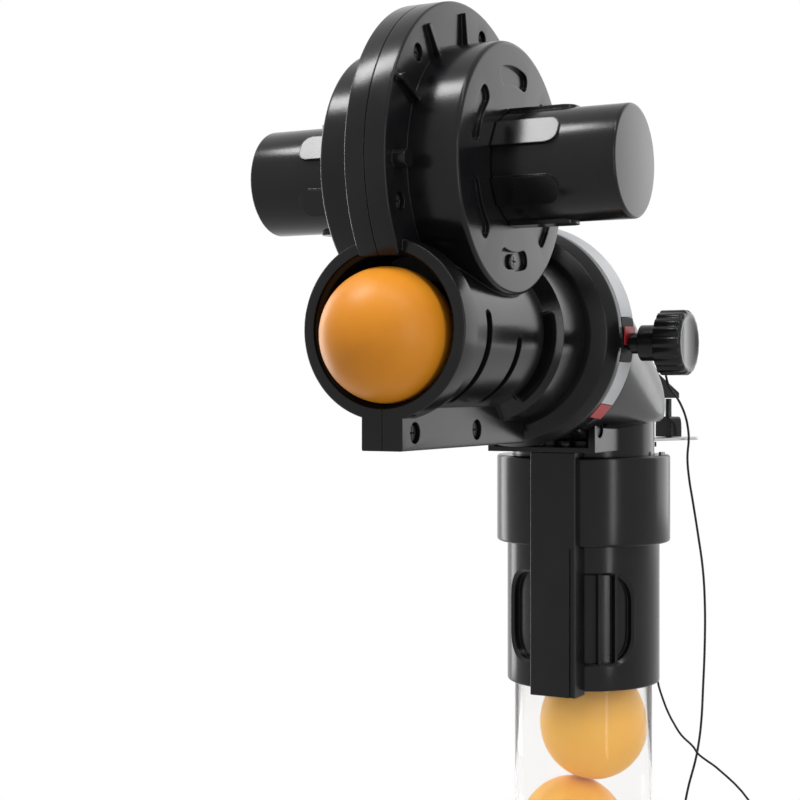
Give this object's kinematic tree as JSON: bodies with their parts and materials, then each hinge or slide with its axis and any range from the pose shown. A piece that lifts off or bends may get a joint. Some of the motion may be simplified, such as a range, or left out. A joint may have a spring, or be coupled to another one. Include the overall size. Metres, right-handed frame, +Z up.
{
  "type": "table tennis robot head",
  "caption": "Table tennis robot head: clear feed tube, cup and collar, turning neck with swing arm, elbow with dial band and lock knob, and a rolling wheel housing with two motors.",
  "frame": {"origin": "centre of the feed tube's lower end, where the picture crops the tube", "axes": "+Z up along the feed tube, -Y the way the muzzle looks, +X to the side of the lock knob, along the wheel axis"},
  "size_m": [0.1461, 0.2263, 0.3033],
  "materials": {
    "clear_tube": "clear",
    "ball": "satin",
    "black_shell": "satin",
    "dark_ring": "satin",
    "dark_trim": "matte",
    "lead_cover": "matte",
    "pale_band": "satin",
    "red_mark": "gloss",
    "bush": "matte",
    "tyre": "matte",
    "steel": "brushed"
  },
  "bodies": {
    "mast": {"feed_tube": "clear_tube", "tube_cup": "black_shell", "swivel_collar": "black_shell", "collar_pin": "steel", "neck_bush": "bush", "lead_b_gland": "dark_trim", "lead_b": "lead_cover", "lead_b_coil": "lead_cover", "lead_b_plug": "dark_trim"},
    "ball_1": {"ball_low": "ball"},
    "ball_2": {"ball_high": "ball"},
    "ball_3": {"ball_muzzle": "ball"},
    "swivel": {"swivel_neck": "black_shell", "sweep_arm": "black_shell", "arm_screw_left": "steel", "arm_screw_right": "steel", "tilt_pin": "steel", "tilt_foot": "black_shell", "tilt_plate": "steel"},
    "jack": {"tilt_jack": "steel"},
    "tilt": {"elbow_right": "black_shell", "elbow_left": "black_shell", "dial_band": "pale_band", "dial_band_low": "pale_band", "lock_patch": "black_shell", "index_mark_lock": "red_mark", "index_mark_low": "red_mark", "lead_a_gland": "dark_trim", "lead_a": "lead_cover", "lead_a_coil": "lead_cover", "lead_a_plug": "dark_trim"},
    "knob": {"lock_knob": "black_shell"},
    "head": {"roll_ring": "dark_ring", "housing_right": "black_shell", "housing_left": "black_shell", "motor_cap_right": "black_shell", "motor_cap_left": "black_shell", "motor_right": "steel", "motor_left": "steel", "bearing_right": "steel", "bearing_left": "steel", "rim_screw_1": "steel", "rim_screw_2": "steel", "rim_screw_3": "steel", "rim_screw_4": "steel", "foot_screw_1": "steel", "foot_screw_2": "steel", "drum_screw_right": "steel", "drum_screw_left": "steel"},
    "wheel": {"wheel_shaft": "steel", "wheel_hub": "dark_ring", "wheel_tyre": "tyre"}
  },
  "joints": [
    {"name": "sweep", "type": "hinge", "parent": "mast", "child": "swivel", "pos_m": [0, 0, 0.15], "axis": [0, 0, 1], "range_deg": [-20, 20]},
    {"name": "tilt_hinge", "type": "hinge", "parent": "swivel", "child": "tilt", "pos_m": [0, -0.0346, 0.1698], "axis": [-1, 0, 0], "range_deg": [-5, 5]},
    {"name": "jack_slide", "type": "slide", "parent": "swivel", "child": "jack", "axis": [0, 0, 1], "range_m": [-0.0068, 0.0068]},
    {"name": "knob_turn", "type": "hinge", "parent": "tilt", "child": "knob", "pos_m": [0.05, -0.053, 0.1989], "axis": [1, 0, 0], "range_deg": [-180, 180]},
    {"name": "roll", "type": "hinge", "parent": "tilt", "child": "head", "pos_m": [0, -0.06, 0.20137], "axis": [0, 1, 0], "range_deg": [-90, 60]},
    {"name": "wheel_spin", "type": "hinge", "parent": "head", "child": "wheel", "pos_m": [0, -0.11197, 0.25091], "axis": [1, 0, 0], "continuous": true},
    {"name": "ball_low_rise", "type": "slide", "parent": "mast", "child": "ball_1", "axis": [0, 0, 1], "range_m": [0, 0.04]},
    {"name": "ball_high_rise", "type": "slide", "parent": "mast", "child": "ball_2", "axis": [0, 0, 1], "range_m": [0, 0.04]},
    {"name": "ball_shot", "type": "slide", "parent": "head", "child": "ball_3", "axis": [0, -1, 0], "range_m": [-0.02, 0.005]}
  ],
  "couplings": [
    {"joint": "jack_slide", "follows": "tilt_hinge", "m_per_rad": -0.0772},
    {"joint": "ball_low_rise", "follows": "ball_high_rise", "ratio": 1}
  ]
}
